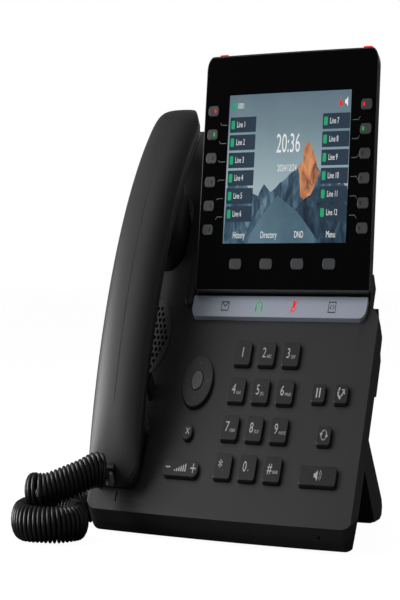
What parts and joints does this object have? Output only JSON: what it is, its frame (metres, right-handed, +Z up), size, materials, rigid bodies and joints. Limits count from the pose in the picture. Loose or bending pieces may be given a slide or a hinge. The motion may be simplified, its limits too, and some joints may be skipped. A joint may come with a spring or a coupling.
{
  "type": "ip_desk_phone",
  "caption": "Black desk IP phone with a tilting colour display, line and soft keys, sloping keypad, corded handset on the left and a fold-out foot stand.",
  "frame": {"origin": "middle of the base's width at the front edge of the sloping face, on the desk plane", "axes": "+X to the user's right, +Y away from the user, +Z up"},
  "size_m": [0.2798, 0.2306, 0.1875],
  "materials": {
    "shell": "fine spark-eroded grain, slight sheen",
    "shell_under": "matte grain",
    "bar": "satin blue-grey gradient",
    "keys": "semi-gloss with pale printed legends",
    "line_keys": "satin",
    "ok": "brushed in circles",
    "front_glass": "black glossy",
    "rim": "satin grey",
    "picture": "lit colour picture",
    "lamp": "milky",
    "gloss": "piano gloss",
    "handset_under": "fine grain",
    "cord": "smooth soft jacket",
    "rubber": "matte",
    "steel": "zinc plated",
    "board": "solder mask",
    "mat": "silicone",
    "speaker": "coated paper and steel",
    "socket": "moulded"
  },
  "bodies": {
    "base": {"top_shell": "shell", "bottom_shell": "shell_under", "status_bar": "bar", "main_board": "board", "keypad_mat": "mat", "loudspeaker": "speaker", "rear_sockets": "socket", "hinge_pins": "steel", "shell_screws": "steel", "front_feet": "rubber", "coiled_cord": "cord"},
    "display": {"display_glass": "front_glass", "display_bezel": "rim", "display_rear_cover": "shell_under", "lcd_panel": "picture", "alert_lamps": "lamp"},
    "handset": {"handset_upper_shell": "gloss", "handset_lower_shell": "handset_under", "handset_receiver": "speaker", "handset_microphone": "speaker"},
    "stand": {"foot_stand": "shell_under", "stand_pins": "steel", "stand_feet": "rubber"},
    "hook": {"hook_switch": "keys"},
    "nav": {"nav_ring": "keys"},
    "volume": {"volume_rocker": "keys"},
    "ok": {"key_ok": "ok"},
    "cancel": {"key_x": "keys"},
    "k_1": {"key_1": "keys"},
    "k_2": {"key_2": "keys"},
    "k_3": {"key_3": "keys"},
    "k_4": {"key_4": "keys"},
    "k_5": {"key_5": "keys"},
    "k_6": {"key_6": "keys"},
    "k_7": {"key_7": "keys"},
    "k_8": {"key_8": "keys"},
    "k_9": {"key_9": "keys"},
    "k_star": {"key_star": "keys"},
    "k_0": {"key_0": "keys"},
    "k_hash": {"key_hash": "keys"},
    "k_pause": {"key_pause": "keys"},
    "k_transfer": {"key_transfer": "keys"},
    "k_redial": {"key_redial": "keys"},
    "k_speaker": {"key_speaker": "keys"},
    "soft_1": {"soft_key_1": "line_keys"},
    "soft_2": {"soft_key_2": "line_keys"},
    "soft_3": {"soft_key_3": "line_keys"},
    "soft_4": {"soft_key_4": "line_keys"},
    "line_l1": {"line_key_l1": "line_keys"},
    "line_r1": {"line_key_r1": "line_keys"},
    "line_l2": {"line_key_l2": "line_keys"},
    "line_r2": {"line_key_r2": "line_keys"},
    "line_l3": {"line_key_l3": "line_keys"},
    "line_r3": {"line_key_r3": "line_keys"},
    "line_l4": {"line_key_l4": "line_keys"},
    "line_r4": {"line_key_r4": "line_keys"},
    "line_l5": {"line_key_l5": "line_keys"},
    "line_r5": {"line_key_r5": "line_keys"},
    "line_l6": {"line_key_l6": "line_keys"},
    "line_r6": {"line_key_r6": "line_keys"}
  },
  "joints": [
    {"name": "display_tilt", "type": "hinge", "parent": "base", "child": "display", "pos_m": [0.0278, 0.09114, 0.09467], "axis": [1, 0, 0], "range_deg": [-20, 3]},
    {"name": "foot_stand_fold", "type": "hinge", "parent": "base", "child": "stand", "pos_m": [0, 0.084, 0.046], "axis": [1, 0, 0], "range_deg": [-95, 0]},
    {"name": "handset_lift", "type": "slide", "parent": "base", "child": "handset", "axis": [0, -0.7071, 0.7071], "range_m": [0, 0.06]},
    {"name": "hook_switch_rise", "type": "slide", "parent": "base", "child": "hook", "axis": [0, -0.7071, 0.7071], "range_m": [0, 0.003]},
    {"name": "nav_ring_rock", "type": "hinge", "parent": "base", "child": "nav", "pos_m": [-0.0345, 0.04985, 0.05464], "axis": [1, 0, 0], "range_deg": [-2.5, 2.5]},
    {"name": "volume_rock", "type": "hinge", "parent": "base", "child": "volume", "pos_m": [-0.0345, 0.01817, 0.02296], "axis": [0, 0.7071, 0.7071], "range_deg": [-2.5, 2.5]},
    {"name": "ok_press", "type": "slide", "parent": "base", "child": "ok", "axis": [0, 0.7071, -0.7071], "range_m": [0, 0.001]},
    {"name": "cancel_press", "type": "slide", "parent": "base", "child": "cancel", "axis": [0, 0.7071, -0.7071], "range_m": [0, 0.0012]},
    {"name": "k_1_press", "type": "slide", "parent": "base", "child": "k_1", "axis": [0, 0.7071, -0.7071], "range_m": [0, 0.0012]},
    {"name": "k_2_press", "type": "slide", "parent": "base", "child": "k_2", "axis": [0, 0.7071, -0.7071], "range_m": [0, 0.0012]},
    {"name": "k_3_press", "type": "slide", "parent": "base", "child": "k_3", "axis": [0, 0.7071, -0.7071], "range_m": [0, 0.0012]},
    {"name": "k_4_press", "type": "slide", "parent": "base", "child": "k_4", "axis": [0, 0.7071, -0.7071], "range_m": [0, 0.0012]},
    {"name": "k_5_press", "type": "slide", "parent": "base", "child": "k_5", "axis": [0, 0.7071, -0.7071], "range_m": [0, 0.0012]},
    {"name": "k_6_press", "type": "slide", "parent": "base", "child": "k_6", "axis": [0, 0.7071, -0.7071], "range_m": [0, 0.0012]},
    {"name": "k_7_press", "type": "slide", "parent": "base", "child": "k_7", "axis": [0, 0.7071, -0.7071], "range_m": [0, 0.0012]},
    {"name": "k_8_press", "type": "slide", "parent": "base", "child": "k_8", "axis": [0, 0.7071, -0.7071], "range_m": [0, 0.0012]},
    {"name": "k_9_press", "type": "slide", "parent": "base", "child": "k_9", "axis": [0, 0.7071, -0.7071], "range_m": [0, 0.0012]},
    {"name": "k_star_press", "type": "slide", "parent": "base", "child": "k_star", "axis": [0, 0.7071, -0.7071], "range_m": [0, 0.0012]},
    {"name": "k_0_press", "type": "slide", "parent": "base", "child": "k_0", "axis": [0, 0.7071, -0.7071], "range_m": [0, 0.0012]},
    {"name": "k_hash_press", "type": "slide", "parent": "base", "child": "k_hash", "axis": [0, 0.7071, -0.7071], "range_m": [0, 0.0012]},
    {"name": "k_pause_press", "type": "slide", "parent": "base", "child": "k_pause", "axis": [0, 0.7071, -0.7071], "range_m": [0, 0.0012]},
    {"name": "k_transfer_press", "type": "slide", "parent": "base", "child": "k_transfer", "axis": [0, 0.7071, -0.7071], "range_m": [0, 0.0012]},
    {"name": "k_redial_press", "type": "slide", "parent": "base", "child": "k_redial", "axis": [0, 0.7071, -0.7071], "range_m": [0, 0.0012]},
    {"name": "k_speaker_press", "type": "slide", "parent": "base", "child": "k_speaker", "axis": [0, 0.7071, -0.7071], "range_m": [0, 0.0012]},
    {"name": "soft_1_press", "type": "slide", "parent": "display", "child": "soft_1", "axis": [0, 0.9659, -0.2588], "range_m": [0, 0.0006]},
    {"name": "soft_2_press", "type": "slide", "parent": "display", "child": "soft_2", "axis": [0, 0.9659, -0.2588], "range_m": [0, 0.0006]},
    {"name": "soft_3_press", "type": "slide", "parent": "display", "child": "soft_3", "axis": [0, 0.9659, -0.2588], "range_m": [0, 0.0006]},
    {"name": "soft_4_press", "type": "slide", "parent": "display", "child": "soft_4", "axis": [0, 0.9659, -0.2588], "range_m": [0, 0.0006]},
    {"name": "line_l1_press", "type": "slide", "parent": "display", "child": "line_l1", "axis": [0, 0.9659, -0.2588], "range_m": [0, 0.0006]},
    {"name": "line_r1_press", "type": "slide", "parent": "display", "child": "line_r1", "axis": [0, 0.9659, -0.2588], "range_m": [0, 0.0006]},
    {"name": "line_l2_press", "type": "slide", "parent": "display", "child": "line_l2", "axis": [0, 0.9659, -0.2588], "range_m": [0, 0.0006]},
    {"name": "line_r2_press", "type": "slide", "parent": "display", "child": "line_r2", "axis": [0, 0.9659, -0.2588], "range_m": [0, 0.0006]},
    {"name": "line_l3_press", "type": "slide", "parent": "display", "child": "line_l3", "axis": [0, 0.9659, -0.2588], "range_m": [0, 0.0006]},
    {"name": "line_r3_press", "type": "slide", "parent": "display", "child": "line_r3", "axis": [0, 0.9659, -0.2588], "range_m": [0, 0.0006]},
    {"name": "line_l4_press", "type": "slide", "parent": "display", "child": "line_l4", "axis": [0, 0.9659, -0.2588], "range_m": [0, 0.0006]},
    {"name": "line_r4_press", "type": "slide", "parent": "display", "child": "line_r4", "axis": [0, 0.9659, -0.2588], "range_m": [0, 0.0006]},
    {"name": "line_l5_press", "type": "slide", "parent": "display", "child": "line_l5", "axis": [0, 0.9659, -0.2588], "range_m": [0, 0.0006]},
    {"name": "line_r5_press", "type": "slide", "parent": "display", "child": "line_r5", "axis": [0, 0.9659, -0.2588], "range_m": [0, 0.0006]},
    {"name": "line_l6_press", "type": "slide", "parent": "display", "child": "line_l6", "axis": [0, 0.9659, -0.2588], "range_m": [0, 0.0006]},
    {"name": "line_r6_press", "type": "slide", "parent": "display", "child": "line_r6", "axis": [0, 0.9659, -0.2588], "range_m": [0, 0.0006]}
  ],
  "couplings": [
    {"joint": "hook_switch_rise", "follows": "handset_lift", "ratio": 0.05}
  ]
}
